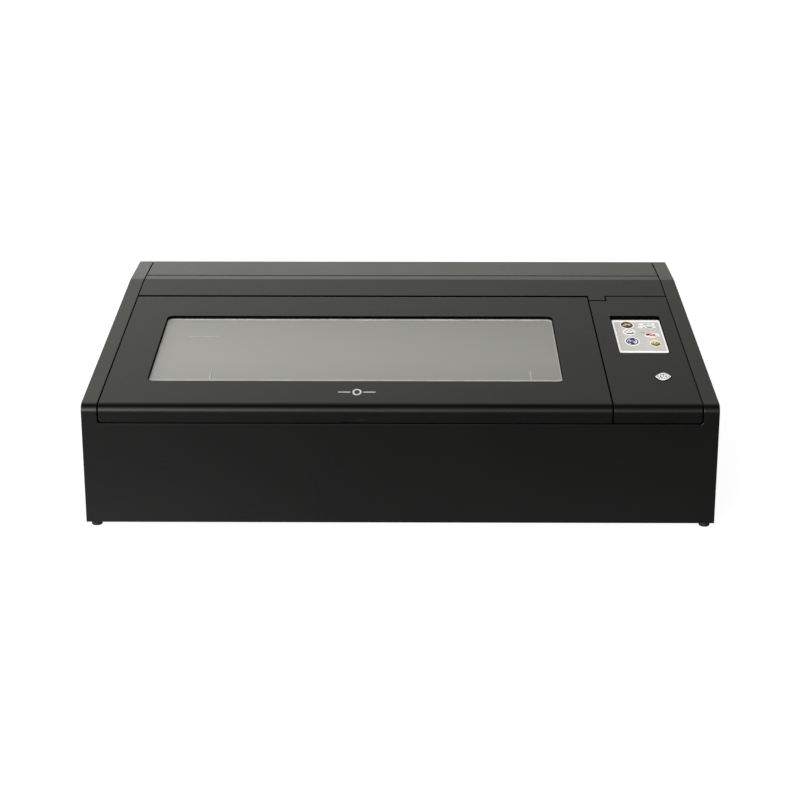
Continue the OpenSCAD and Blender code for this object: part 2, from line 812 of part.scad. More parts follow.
module mirror_3_housing() {
    color(cast_grey) difference() {
        union() {
            head_part(17, lens_y - 16, lens_y + 16.9, 142, 177);
            z_cyl(16, 120, 143, lens_x, lens_y);
        }
        x_cyl(beam_bore_r, lens_x - 30, lens_x, lens_y, beam_z);
        z_cyl(12.1, 110, 141.5, lens_x, lens_y);
        z_cyl(beam_bore_r, 140, beam_z, lens_x, lens_y);
        // sloping mirror face
        translate([lens_x, 0, beam_z]) rotate([0, 45, 0])
            translate([-20, 0, 12]) cube([60, 100, 30]);
        x_cyl(2.1, lens_x + 8, lens_x + 30, lens_y, knob_z);
    }
}

module lens_tube() {
    color(steel) difference() {
        union() {
            z_cyl(12, 92, 134, lens_x, lens_y);
            translate([lens_x, lens_y, 80]) cylinder(r1=3.5, r2=9, h=12.1);
        }
        z_cyl(9, 98, 140, lens_x, lens_y);
        z_cyl(1.8, 70, 100, lens_x, lens_y);
    }
}

module focus_knob() {
    color(black) union() {
        x_cyl(2, lens_x + 12.3, lens_x + 18, lens_y, knob_z);
        x_cyl(6, lens_x + 16.6, lens_x + 27, lens_y, knob_z);
    }
}

// ================= tube bay and services =================
// rod or bore on the laser tube's axis
module tube_rod(r, x0, x1) {
    x_cyl(r, x0, x1, tube_y, beam_z);
}

module laser_tube() {
    color([0.85, 0.88, 0.9, 0.6]) union() {
        difference() {
            tube_rod(tube_r, -372, 422);
            tube_rod(tube_r - 2, -368, 418);
        }
        difference() {
            tube_rod(9, -370, 420);
            tube_rod(7, -380, 430);
        }
    }
}

module tube_end_caps() {
    // [cap x0, cap x1, bore x0, bore x1]; the right cap is blind
    caps = [[-396, -372.1, -400, -370], [422.1, 446, 420, 440]];
    color([0.8, 0.65, 0.3]) for (cap = caps) difference() {
        tube_rod(13, cap[0], cap[1]);
        tube_rod(5, cap[2], cap[3]);
    }
}

module tube_clamps() {
    color(black) for (x = [-300, 224]) difference() {
        union() {
            box(x - 8, x + 8, 266, 330.5, beam_z - 32, beam_z + 32);
            box(x - 8, x + 8, tube_y - 12, tube_y + 12, floor_z, beam_z - 31);
        }
        tube_rod(tube_r + .1, x - 20, x + 20);
    }
}

module hv_supply() {
    color(grey) difference() {
        box(245, 335, 162, 322, floor_z, 104);
        for (i = [0:7]) box(240, 248, 180 + i*16, 188 + i*16, 40, 90);
    }
}

module water_tank() {
    color([0.8, 0.85, 0.9]) difference() {
        union() {
            box(-70, 60, 176, 290, floor_z, 108);
            // wide cap and narrow spout
            z_cyl(18, 107, 116, -30, 230);
            z_cyl(5, 107, 124, 30, 220);
        }
        box(-67, 57, 179, 287, 12, 105);
    }
}

module radiator() {
    x = radiator_x;
    z = radiator_fan_z;
    color(vent_grey) difference() {
        union() {
            box(x - 62, x + 62, 331, 342, z - 59, z + 59);
            box(x - 60, x + 60, 341, 366, z - 60, z + 60);
        }
        y_cyl(56, 342, 370, x, z);
        for (i = [0:18]) box(x - 57, x + 57, 330, 341, 42 + i*6, 45 + i*6);
        y_cyl(50, 338, 345, x, z);
    }
}

// hub with seven slanted blades
module rotor(x, z, y0, y1, r) {
    blades = 7;
    color(black) union() {
        y_cyl(18, y0, y1, x, z);
        for (i = [0:blades-1])
            translate([x, (y0 + y1)/2, z]) rotate([0, i*360/blades, 0]) rotate([0, 0, 32])
                translate([-1, -8, 15]) cube([2, 16, r - 17]);
    }
}
module radiator_fan_rotor() {
    rotor(radiator_x, radiator_fan_z, 346, 362, 53);
}
module exhaust_fan_rotor() {
    rotor(fan_x, fan_z, 336, 352, 50);
}

// square outline of the exhaust fan
module fan_square(y0, y1) {
    box(fan_x - 58, fan_x + 58, y0, y1, fan_z - 58, fan_z + 58);
}

module exhaust_fan_frame() {
    color(black) difference() {
        fan_square(333, 356);
        y_cyl(53, 330, 360, fan_x, fan_z);
    }
}

module exhaust_port() {
    color(vent_grey) difference() {
        union() {
            fan_square(356.2, 360);
            y_cyl(55.5, 359, rear_y, fan_x, fan_z);
        }
        y_cyl(port_r, 350, 380, fan_x, fan_z);
    }
}

module exhaust_duct() {
    color(grey) difference() {
        union() {
            box(fan_x - 60, fan_x + 60, 152.2, 331, 30, 126);
            fan_square(330.8, 332.8);
        }
        box(fan_x - 58, fan_x + 58, 150, 330.8, 32, 124);
        box(fan_x - 56, fan_x + 56, 330, 335, 32, 124);
    }
}

// block filling a rear opening
module port_body(hole) {
    box(hole[0] + fit, hole[1] - fit, 350, rear_y - fit, hole[2] + fit, hole[3] - fit);
}

module rear_ports() {
    // [x, z0] of the inlet pins
    pins = [[409, 46], [416, 53], [423, 46]];
    // [x0, x1, z0, z1] of the socket recesses
    recesses = [[305, 321, 36, 49], [328, 342, 39, 47], [348, 362, 39, 47]];
    color(black) {
        // power inlet, with the opening for the switch on its right in X
        difference() {
            port_body(inlet_hole);
            box(400, 432, 355, 372, 40, 62);
            box(438, 461, 352, 372, 35, 72);
        }
        for (pin = pins) box(pin[0] - .8, pin[0] + .8, 354.5, 366, pin[1], pin[1] + 4);
        difference() {
            port_body(socket_hole);
            for (slot = recesses) box(slot[0], slot[1], 356, 372, slot[2], slot[3]);
        }
    }
}

module power_switch() {
    mid_z = 53.5;
    color([0.15, 0.15, 0.15]) difference() {
        union() {
            box(439, 460, 362.6, 367.6, 38, 69);
            x_cyl(5, 439, 460, 361, mid_z);
        }
        // the rear face dips to a shallow vee, so that one half stands proud
        translate([430, 367.9, mid_z]) rotate([6, 0, 0]) cube([40, 10, 40]);
        translate([430, 367.9, mid_z]) rotate([84, 0, 0]) cube([40, 40, 10]);
    }
}

module dc_supply() {
    color(grey) difference() {
        box(368, 478, -330, -120, floor_z, 58);
        for (i = [0:9]) box(375, 471, -310 + i*18, -302 + i*18, 55, 60);
    }
}

module main_board() {
    bottom = 16;
    top = 17.6;
    color([0.1, 0.35, 0.2]) {
        box(360, 490, -90, 60, bottom, top);
        for (x = [366, 484], y = [-84, 54]) z_cyl(3, floor_z - .1, bottom, x, y);
        for (i = [0:3]) box(372 + i*28, 390 + i*28, -60, -42, top, 26);
        box(400, 440, 0, 40, top, 21);
    }
}

function on(name) = node == "all" || node == name;

if (on("outer_shell")) outer_shell();
if (on("base_pan")) base_pan();
if (on("rear_panel")) rear_panel();
if (on("tube_cover")) tube_cover();
if (on("hinge_cover")) hinge_cover();
if (on("control_panel")) control_panel();
if (on("display_glass")) display_glass();
if (on("display_module")) display_module();
if (on("button_housing")) button_housing();
if (on("feet")) feet();
if (on("inner_tub")) inner_tub();
if (on("crumb_tray")) crumb_tray();
if (on("bed_frame")) bed_frame();
if (on("honeycomb")) honeycomb();
if (on("y_rails")) y_rails();
if (on("y_belts")) y_belts();
if (on("y_motor")) y_motor();
if (on("shaft_bearings")) shaft_bearings();
if (on("idler_brackets")) idler_brackets();
if (on("laser_tube")) laser_tube();
if (on("tube_end_caps")) tube_end_caps();
if (on("tube_clamps")) tube_clamps();
if (on("mirror_1_mount")) mirror_1_mount();
if (on("hv_supply")) hv_supply();
if (on("water_tank")) water_tank();
if (on("radiator")) radiator();
if (on("exhaust_duct")) exhaust_duct();
if (on("exhaust_fan_frame")) exhaust_fan_frame();
if (on("exhaust_port")) exhaust_port();
if (on("rear_ports")) rear_ports();
if (on("dc_supply")) dc_supply();
if (on("main_board")) main_board();
if (on("hinge_brackets")) hinge_brackets();
if (on("cover_screws")) cover_screws();
if (on("lid_frame")) lid_frame();
if (on("lid_window")) lid_window();
if (on("window_trim")) window_trim();
if (on("lid_inner_frame")) lid_inner_frame();
if (on("lid_seal")) lid_seal();
if (on("hinge_leaves")) hinge_leaves();
if (on("lid_light_bar")) lid_light_bar();
if (on("x_beam")) x_beam();
if (on("y_carriages")) y_carriages();
if (on("x_motor")) x_motor();
if (on("x_belt")) x_belt();
if (on("mirror_2_mount")) mirror_2_mount();
if (on("x_drive_pulley")) x_drive_pulley();
if (on("x_idler_pulley")) x_idler_pulley();
if (on("head_carriage")) head_carriage();
if (on("mirror_3_housing")) mirror_3_housing();
if (on("lens_tube")) lens_tube();
if (on("focus_knob")) focus_knob();
if (on("y_drive_shaft")) y_drive_shaft();
if (on("y_idlers")) y_idlers();
if (on("exhaust_fan_rotor")) exhaust_fan_rotor();
if (on("radiator_fan_rotor")) radiator_fan_rotor();
if (on("start_button")) start_button();
if (on("button_spring")) button_spring();
if (on("power_switch")) power_switch();
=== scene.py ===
import math
import bpy
import bmesh
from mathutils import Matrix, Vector


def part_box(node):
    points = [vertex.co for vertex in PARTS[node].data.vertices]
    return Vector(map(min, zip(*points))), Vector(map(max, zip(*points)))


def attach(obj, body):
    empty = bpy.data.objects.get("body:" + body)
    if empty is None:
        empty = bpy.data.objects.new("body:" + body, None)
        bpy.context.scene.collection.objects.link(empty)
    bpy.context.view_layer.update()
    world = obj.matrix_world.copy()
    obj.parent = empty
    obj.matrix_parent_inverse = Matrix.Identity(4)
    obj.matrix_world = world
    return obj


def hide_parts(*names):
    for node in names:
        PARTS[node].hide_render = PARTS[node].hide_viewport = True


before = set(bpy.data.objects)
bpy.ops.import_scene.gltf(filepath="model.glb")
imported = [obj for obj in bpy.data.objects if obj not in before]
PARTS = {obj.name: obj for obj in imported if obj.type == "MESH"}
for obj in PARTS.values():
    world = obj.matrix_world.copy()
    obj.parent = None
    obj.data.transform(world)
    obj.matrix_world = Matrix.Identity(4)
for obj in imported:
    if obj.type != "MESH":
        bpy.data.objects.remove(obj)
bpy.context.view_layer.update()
scene = bpy.context.scene
MM = 0.001

# ---------------------------------------------------------------- the sloping top
# A place on the slope is (x, s, n): s runs up it from the front edge, n stands out of it.
FRONT_Y, FRONT_Z = -370.0, 209.0
BACK_Y, BACK_Z = 232.0, 262.0
RISE = (BACK_Z - FRONT_Z) / (BACK_Y - FRONT_Y)
TILT = math.atan(RISE)
TILT_COS, TILT_SIN = math.cos(TILT), math.sin(TILT)


def on_slope(x, s, n):
    """The point of the frame at (x, s, n)."""
    y = FRONT_Y + s * TILT_COS - n * TILT_SIN
    z = FRONT_Z + s * TILT_SIN + n * TILT_COS
    return Vector((x, y, z)) * MM


def upright(x, y, z):
    """The point of the frame at (x, y, z)."""
    return Vector((x, y, z)) * MM


def slope_at(y):
    """The s of a point on the slope with a given y."""
    return (y - FRONT_Y) / TILT_COS


# ---------------------------------------------------------------- node helpers
class Nodes:
    """Adds nodes to one tree. A node's inputs are given as {key: value or socket}."""

    def __init__(self, tree):
        self.tree = tree

    def fill(self, node, inputs):
        for key, value in inputs.items():
            if isinstance(value, bpy.types.NodeSocket):
                self.tree.links.new(value, node.inputs[key])
            else:
                node.inputs[key].default_value = value

    def node(self, kind, inputs=None, **settings):
        node = self.tree.nodes.new(kind)
        for name, value in settings.items():
            setattr(node, name, value)
        self.fill(node, inputs or {})
        return node

    def first(self, kind, inputs=None, **settings):
        """Adds a node and returns its first output."""
        return self.node(kind, inputs, **settings).outputs[0]

    def math(self, operation, *values, clamp=False):
        return self.first("ShaderNodeMath", dict(enumerate(values)),
                          operation=operation, use_clamp=clamp)

    def axes(self, vector):
        return self.node("ShaderNodeSeparateXYZ", {0: vector}).outputs

    def remap(self, value, to_low, to_high, low=0.3, high=0.7):
        """Maps low..high to to_low..to_high."""
        return self.first("ShaderNodeMapRange", {
            "From Min": low, "From Max": high, "To Min": to_low, "To Max": to_high,
            "Value": value})

    def ramp(self, factor, stops):
        """A colour ramp over (position, colour) stops in rising order."""
        node = self.node("ShaderNodeValToRGB", {0: factor})
        elements = node.color_ramp.elements
        while len(elements) > 1:
            elements.remove(elements[-1])
        elements[0].position, elements[0].color = stops[0]
        for position, color in stops[1:]:
            elements.new(position).color = color
        return node.outputs[0]

    def mix(self, factor, color_a, color_b, blend="MIX"):
        node = self.node("ShaderNodeMix", data_type="RGBA", blend_type=blend)
        self.fill(node, {0: factor, 6: color_a, 7: color_b})
        return node.outputs[2]


MATERIALS = {}


class Look(Nodes):
    """A new material round its Principled shader, kept in MATERIALS under its name."""

    def __init__(self, name):
        material = bpy.data.materials.new(name)
        material.use_nodes = True
        MATERIALS[name] = material
        super().__init__(material.node_tree)
        self.shader = self.tree.nodes["Principled BSDF"]
        self.coords = self.node("ShaderNodeTexCoord").outputs["Object"]

    def principled(self, **inputs):
        """Fills the Principled inputs, with _ in place of a space in their names."""
        self.fill(self.shader, {k.replace("_", " "): v for k, v in inputs.items()})

    def noise(self, scale, detail, roughness=0.5, stretch=None):
        vector = self.coords
        if stretch:
            vector = self.first("ShaderNodeMapping", {"Vector": vector, "Scale": stretch})
        return self.node("ShaderNodeTexNoise", {
            "Scale": scale, "Detail": detail, "Roughness": roughness,
            "Vector": vector}).outputs["Fac"]

    def patchy(self, low, high, scale, detail, stretch=None):
        """A value that drifts between low and high."""
        return self.remap(self.noise(scale, detail, stretch=stretch), low, high)

    def mottled(self, color_a, color_b, scale, detail):
        """A colour that drifts between two."""
        return self.mix(self.patchy(0, 1, scale, detail), color_a, color_b)

    def bump(self, height, strength, distance, base=None):
        inputs = {"Strength": strength, "Distance": distance, "Height": height}
        if base is not None:
            inputs["Normal"] = base
        return self.first("ShaderNodeBump", inputs)

    def mix_surface(self, factor, other):
        """Ends the material in a mix from another shader to the Principled one."""
        mix = self.first("ShaderNodeMixShader",
                         {0: factor, 1: other, 2: self.shader.outputs[0]})
        self.fill(self.tree.nodes["Material Output"], {"Surface": mix})


def shade(color, factor):
    return tuple(c * factor for c in color[:3]) + (1,)


def srgb(*rgb):
    """Linear colour from 0-255 sRGB."""
    def linear(c):
        c = c / 255
        return c / 12.92 if c <= 0.04045 else ((c + 0.055) / 1.055) ** 2.4
    return tuple(linear(c) for c in rgb) + (1,)


# ---------------------------------------------------------------- kinds of material
def painted_gap_shade_mask(look, x, y, z):
    """Painted shade: one down in the gaps between the top panels, zero on the outside faces."""
    slope_z = look.math("MULTIPLY_ADD", y, RISE, FRONT_Z * MM - FRONT_Y * MM * RISE)
    top_z = look.math("MINIMUM", slope_z, BACK_Z * MM)
    depth = look.math("SUBTRACT", top_z, z)
    mask = look.remap(depth, 0, 1, low=0.00015, high=0.00055)
    behind_front_edge = look.math("GREATER_THAN", y, -0.3515)
    mask = look.math("MULTIPLY", mask, behind_front_edge)
    # painted shade in the gap under the front lip
    behind_face = look.math("GREATER_THAN", y, -0.3696)
    below_lip = look.math("LESS_THAN", z, 0.1838)
    mask = look.math("MAXIMUM", mask, look.math("MULTIPLY", behind_face, below_lip))
    inside_sides = look.math("LESS_THAN", look.math("ABSOLUTE", x), 0.5115)
    mask = look.math("MULTIPLY", mask, inside_sides)
    inside_back = look.math("LESS_THAN", y, 0.3685)
    return look.math("MULTIPLY", mask, inside_back)


def powder(name, color, roughness, grain=0.10, specular=0.5, gaps=False, top_ior=None):
    """Satin powder coat: orange-peel grain and soft patches in tone and sheen. With gaps
    it carries painted shade, turning dark and dull between the panels. top_ior is its IOR on the
    sloping top."""
    look = Look(name)
    tone = look.mottled(shade(color, 0.9), shade(color, 1.1), scale=7, detail=2)
    sheen = look.patchy(roughness - 0.012, roughness + 0.012, scale=6, detail=2)
    look.principled(IOR=1.5, Specular_IOR_Level=specular)
    if gaps:
        x, y, z = look.axes(look.coords)
        gap_shade = painted_gap_shade_mask(look, x, y, z)
        # painted shade: between the panels the coat turns dark and loses its reflection
        tone = look.mix(gap_shade, tone, shade(color, 0.4))
        sheen = look.first("ShaderNodeMix", {0: gap_shade, 2: sheen, 3: 0.85}, data_type="FLOAT")
        look.principled(Specular_IOR_Level=look.remap(gap_shade, specular, 0.0, low=0, high=1))
        if top_ior:
            look.principled(IOR=look.remap(z, 1.5, top_ior, low=0.2084, high=0.2092))
    fine = look.bump(look.noise(950, 3, 0.6), strength=grain, distance=0.00025)
    peel = look.bump(look.noise(260, 2), strength=grain * 0.6, distance=0.0006, base=fine)
    look.principled(Base_Color=tone, Roughness=sheen, Normal=peel)


def plastic(name, color, roughness, grain=0.08, grain_scale=900):
    """Moulded plastic or printed ink, with a fine grain."""
    look = Look(name)
    pale = tuple(min(1, c * 1.25 + 0.002) for c in color[:3]) + (1,)
    look.principled(
        Base_Color=look.mottled(color, pale, scale=35, detail=3),
        Roughness=look.patchy(roughness - 0.04, roughness + 0.04, scale=60, detail=3),
        Normal=look.bump(look.noise(grain_scale, 2), strength=grain, distance=0.0003),
        Coat_Weight=0.0, Coat_Roughness=0.1)


def metal(name, color, roughness, stretch=(1, 1, 1), grain_scale=1400, grain=0.1):
    """Machined or brushed metal, its grain drawn out by stretch."""
    look = Look(name)
    lines = look.noise(grain_scale, 2, stretch=stretch)
    look.principled(
        Base_Color=look.mottled(shade(color, 0.88), color, scale=60, detail=4),
        Roughness=look.remap(lines, roughness - 0.06, roughness + 0.08),
        Normal=look.bump(lines, strength=grain, distance=0.0002),
        Metallic=1.0)


def glow(name, color, strength):
    """A lit display area: a printed colour with a weak glow."""
    look = Look(name)
    tone = look.mottled(shade(color, 0.93), color, scale=90, detail=2)
    look.principled(Base_Color=tone, Emission_Color=tone, Emission_Strength=strength,
                    Roughness=look.patchy(0.3, 0.4, scale=40, detail=2))


# ---------------------------------------------------------------- single materials
def painted_shade_lip_coat():
    """The chamber's grey coat, with painted shade making it almost black on its front and
    right-hand lips.
    """
    look = Look("chamber_grey_coat_painted_shade_lips")
    x, y, _ = look.axes(look.coords)
    front = look.remap(y, 1, 0, low=-0.3512, high=-0.3506)
    right = look.remap(x, 0, 1, low=0.3266, high=0.3270)
    grey = look.mottled((0.18, 0.18, 0.175, 1), (0.22, 0.22, 0.215, 1), scale=7, detail=2)
    # painted shade: the front and right-hand lips are painted almost black
    lip_shade = look.math("MAXIMUM", front, right)
    look.principled(
        Base_Color=look.mix(lip_shade, grey, (0.0035, 0.0035, 0.0035, 1)),
        Roughness=look.patchy(0.47, 0.53, scale=11, detail=4),
        Normal=look.bump(look.noise(950, 3, 0.6), strength=0.14, distance=0.00025))


def smoked_acrylic():
    """A smoked sheet that is almost opaque, with painted light: lighter to the left, and a weak
    glow that rises and falls from front to back.
    """
    look = Look("smoked_grey_acrylic_painted_light")
    x, y, _ = look.axes(look.coords)
    across = look.remap(x, 0, 1, low=-0.42, high=0.28)
    along = look.remap(y, 0, 1, low=-0.27, high=0.04)
    # painted light: the colour lightens to the left and the glow rises and falls from front to
    # back
    look.principled(
        Base_Color=look.mix(across, (0.447, 0.442, 0.425, 1), (0.322, 0.318, 0.304, 1)),
        Roughness=look.patchy(0.275, 0.285, scale=2, detail=1),
        IOR=1.49, Coat_Weight=0.1, Coat_Roughness=0.12,
        Emission_Color=look.ramp(along, [
            (0, (0.060, 0.0594, 0.057, 1)), (0.35, (0.082, 0.0812, 0.078, 1)),
            (0.62, (0.074, 0.0733, 0.070, 1)), (1, (0.052, 0.0515, 0.049, 1))]),
        Emission_Strength=1.0)
    clear = look.first("ShaderNodeBsdfTransparent", {0: (0.75, 0.75, 0.73, 1)})
    look.mix_surface(0.93, clear)


def tube_glass():
    """Laser tube glass, clear face on and denser towards its edges."""
    look = Look("borosilicate_glass")
    tint = (0.93, 0.97, 0.98, 1)
    look.principled(Base_Color=tint, IOR=1.45,
                    Roughness=look.patchy(0.02, 0.06, scale=20, detail=2))
    clear = look.first("ShaderNodeBsdfTransparent", {0: tint})
    facing = look.node("ShaderNodeLayerWeight", {"Blend": 0.35}).outputs["Facing"]
    look.mix_surface(look.remap(facing, 0.12, 0.9, low=0.0, high=1.0), clear)


def button_nickel():
    """Pale brushed metal with a painted glow on faces along the slope, and painted shade, black,
    on the button's walls.
    """
    look = Look("satin_nickel_painted_glow_and_shade")
    brush = (0.1, 1, 1)
    # painted light: the metal is given a glow though the button is no lamp
    look.principled(
        Base_Color=look.mottled((0.66, 0.66, 0.65, 1), (0.86, 0.86, 0.85, 1),
                                scale=300, detail=3),
        Roughness=look.patchy(0.3, 0.5, scale=900, detail=2, stretch=brush),
        Normal=look.bump(look.noise(1200, 2, stretch=brush), strength=0.12, distance=0.0002),
        Metallic=0.35, Emission_Color=(1, 1, 0.98, 1), Emission_Strength=0.42)
    # painted shade: the button's walls are painted black
    normal = look.node("ShaderNodeNewGeometry").outputs["Normal"]
    dot = look.node("ShaderNodeVectorMath", {0: normal, 1: (0, -TILT_SIN, TILT_COS)},
                    operation="DOT_PRODUCT").outputs["Value"]
    wall_shade = look.first("ShaderNodeBsdfPrincipled",
                      {"Base Color": (0.012, 0.012, 0.012, 1), "Roughness": 0.6})
    look.mix_surface(look.remap(dot, 0, 1, low=0.55, high=0.8), wall_shade)


def circuit_board():
    look = Look("green_circuit_board")
    speckle = look.remap(look.noise(500, 2), 0, 1, low=0.48, high=0.52)
    look.principled(
        Base_Color=look.mix(speckle, (0.01, 0.09, 0.035, 1), (0.02, 0.15, 0.06, 1)),
        Roughness=look.patchy(0.3, 0.42, scale=80, detail=2))


# ---------------------------------------------------------------- the palette
CHARCOAL = (0.0040, 0.0040, 0.0038)
powder("satin_charcoal_powder_coat", CHARCOAL, roughness=0.28, grain=0.03,
       specular=0.54, gaps=True)
powder("satin_charcoal_shell_coat", CHARCOAL, roughness=0.28, grain=0.03,
       specular=0.58, gaps=True, top_ior=1.64)
powder("satin_charcoal_lid_paint", (0.0039, 0.0039, 0.0037), roughness=0.28, grain=0.03,
       gaps=True)
powder("chamber_grey_coat", (0.20, 0.20, 0.195), roughness=0.5, grain=0.14)
painted_shade_lip_coat()
powder("motor_black_enamel", (0.015, 0.015, 0.016), roughness=0.34)

metal("zinc_plated_sheet", (0.55, 0.56, 0.56, 1), roughness=0.42, grain_scale=90, grain=0.05)
metal("bead_blasted_aluminium", (0.72, 0.72, 0.72, 1), roughness=0.38, grain_scale=1500,
      grain=0.16)
metal("black_anodised_aluminium", (0.05, 0.05, 0.052, 1), roughness=0.36,
      stretch=(0.06, 1, 1), grain_scale=1500, grain=0.14)
metal("ground_steel", (0.62, 0.62, 0.61, 1), roughness=0.28, stretch=(0.05, 1, 1),
      grain_scale=1600, grain=0.12)
metal("turned_brass", (0.74, 0.50, 0.20, 1), roughness=0.26, grain_scale=900)

plastic("moulded_black_plastic", (0.012, 0.012, 0.012, 1), roughness=0.5, grain=0.16)
plastic("black_rubber", (0.009, 0.009, 0.009, 1), roughness=0.72, grain=0.22,
        grain_scale=600)
plastic("tank_natural_plastic", (0.62, 0.66, 0.68, 1), roughness=0.35, grain_scale=300)
# pale for the ribs, and a painted highlight along the window's trim
plastic("pale_ribs_and_painted_trim_highlight", (0.62, 0.61, 0.585, 1), roughness=0.4, grain=0.05)
# painted highlight: pale edges and a glint on the window
plastic("pale_painted_highlight", (0.56, 0.55, 0.525, 1), roughness=0.3, grain=0.05)
plastic("white_screen_print", (0.72, 0.73, 0.74, 1), roughness=0.45, grain=0.05)
plastic("grey_engraved_ink", (0.16, 0.16, 0.155, 1), roughness=0.5, grain=0.05)
plastic("dark_engraved_ink", (0.05, 0.05, 0.05, 1), roughness=0.5, grain=0.05)

smoked_acrylic()
tube_glass()
button_nickel()
circuit_board()

glow("display_grey", (0.50, 0.485, 0.465, 1), strength=0.62)
glow("display_white", (0.80, 0.79, 0.77, 1), strength=0.72)
glow("icon_line_grey", (0.34, 0.33, 0.32, 1), strength=0.4)
glow("frosted_light_bar", (0.9, 0.9, 0.88, 1), strength=0.5)
# icon colour: sRGB, strength of the glow
ICON_COLORS = {
    "umber": ((52, 34, 34), 0.5), "orange": ((214, 150, 96), 0.6),
    "teal": ((96, 150, 144), 0.6), "grey": ((88, 90, 94), 0.42),
    "red": ((172, 32, 38), 0.5), "blue": ((20, 54, 112), 0.45),
    "white": ((228, 228, 232), 0.6), "gold": ((184, 150, 56), 0.5),
    "cream": ((226, 205, 176), 0.6), "deep_green": ((72, 100, 84), 0.5),
    "slate": ((54, 68, 92), 0.42), "navy": ((14, 20, 48), 0.5),
    "tan": ((150, 122, 96), 0.55), "olive": ((84, 74, 36), 0.5),
    "pale_beige": ((208, 198, 182), 0.6),
}
for color_name, (rgb, strength) in ICON_COLORS.items():
    glow("icon_" + color_name, srgb(*rgb), strength)

# material: the CAD parts it covers
PAINT = {
    "satin_charcoal_shell_coat": "outer_shell",
    "satin_charcoal_powder_coat": "base_pan rear_panel tube_cover hinge_cover",
    "satin_charcoal_lid_paint": "control_panel lid_frame",
    "smoked_grey_acrylic_painted_light": "lid_window",
    # the window trim's pale colour is a painted highlight along the window's front edge
    "pale_ribs_and_painted_trim_highlight": "window_trim",
    "display_white": "display_glass",
    "moulded_black_plastic":
        "display_module button_housing lid_inner_frame exhaust_fan_frame exhaust_port "
        "rear_ports exhaust_fan_rotor radiator_fan_rotor power_switch tube_clamps",
    "satin_nickel_painted_glow_and_shade": "start_button",
    "ground_steel":
        "button_spring cover_screws y_drive_shaft y_idlers x_drive_pulley x_idler_pulley "
        "hinge_leaves hinge_brackets crumb_tray",
    "black_rubber": "feet lid_seal y_belts x_belt",
    "chamber_grey_coat": "exhaust_duct",
    "chamber_grey_coat_painted_shade_lips": "inner_tub",
    "zinc_plated_sheet": "hv_supply dc_supply",
    "bead_blasted_aluminium":
        "bed_frame y_carriages mirror_1_mount mirror_2_mount mirror_3_housing lens_tube "
        "honeycomb",
    "black_anodised_aluminium":
        "y_rails x_beam head_carriage idler_brackets shaft_bearings radiator",
    "motor_black_enamel": "y_motor x_motor",
    "borosilicate_glass": "laser_tube",
    "turned_brass": "tube_end_caps focus_knob",
    "tank_natural_plastic": "water_tank",
    "green_circuit_board": "main_board",
    "frosted_light_bar": "lid_light_bar",
}
for material_name, part_names in PAINT.items():
    for part_name in part_names.split():
        slots = PARTS[part_name].data.materials
        slots.clear()
        slots.append(MATERIALS[material_name])

# ---------------------------------------------------------------- edges of the CAD parts
# width of the broken edges: the parts that have them
BEVELS = {
    0.2: "window_trim",
    0.3: "cover_screws",
    0.4: "rear_panel base_pan lens_tube head_carriage rear_ports radiator",
    0.45: "outer_shell tube_cover hinge_cover control_panel lid_frame",
    0.5: "start_button lid_window focus_knob bed_frame exhaust_port lid_inner_frame "
         "inner_tub y_carriages",
    0.6: "x_beam y_rails power_switch shaft_bearings idler_brackets",
    0.8: "feet mirror_1_mount mirror_2_mount mirror_3_housing lid_light_bar",
    1.0: "hv_supply dc_supply tube_clamps",
    1.2: "x_motor y_motor",
    3.0: "water_tank",
}
BEVEL_WIDTHS = {part: width for width, parts in BEVELS.items() for part in parts.split()}
# large sheet parts, bevelled without clamping
SHEETS = "outer_shell tube_cover hinge_cover control_panel lid_frame rear_panel".split()


def crease_group():
    """Marks edges sharper than Angle, the shallow bend across the top, and faces larger
    than Flat as sharp."""
    group = bpy.data.node_groups.new("crease_edges", "GeometryNodeTree")
    for name, direction, kind in (("Geometry", "INPUT", "Geometry"), ("Angle", "INPUT", "Float"),
                                  ("Flat", "INPUT", "Float"), ("Geometry", "OUTPUT", "Geometry")):
        group.interface.new_socket(name, in_out=direction, socket_type="NodeSocket" + kind)
    nodes = Nodes(group)
    given = nodes.node("NodeGroupInput").outputs

    def compare(operation, value, limit):
        return nodes.first("FunctionNodeCompare", {0: value, 1: limit},
                           data_type="FLOAT", operation=operation)

    def logic(operation, a, b):
        return nodes.first("FunctionNodeBooleanMath", {0: a, 1: b}, operation=operation)

    angle = nodes.first("GeometryNodeInputMeshEdgeAngle")
    _, y, z = nodes.axes(nodes.first("GeometryNodeInputPosition"))
    hard = compare("GREATER_THAN", angle, given["Angle"])
    bent = compare("GREATER_THAN", angle, math.radians(2.5))
    # the bend lies at the back end of the slope
    near = logic("AND", compare("GREATER_THAN", y, 0.2305), compare("LESS_THAN", y, 0.2335))
    near = logic("AND", near, compare("GREATER_THAN", z, 0.255))
    face_area = nodes.first("GeometryNodeInputMeshFaceArea")
    sharpened = nodes.first("GeometryNodeSetMeshNormal", {
        "Mesh": given["Geometry"],
        "Remove Custom": True,
        "Edge Sharpness": logic("OR", hard, logic("AND", bent, near)),
        "Face Sharpness": compare("GREATER_THAN", face_area, given["Flat"]),
    }, mode="SHARPNESS")
    nodes.node("NodeGroupOutput", {0: sharpened})
    return group


def add_crease(part, group, **values):
    modifier = part.modifiers.new("creases", "NODES")
    modifier.node_group = group
    for item in group.interface.items_tree:
        if item.name in values:
            modifier[item.identifier] = values[item.name]


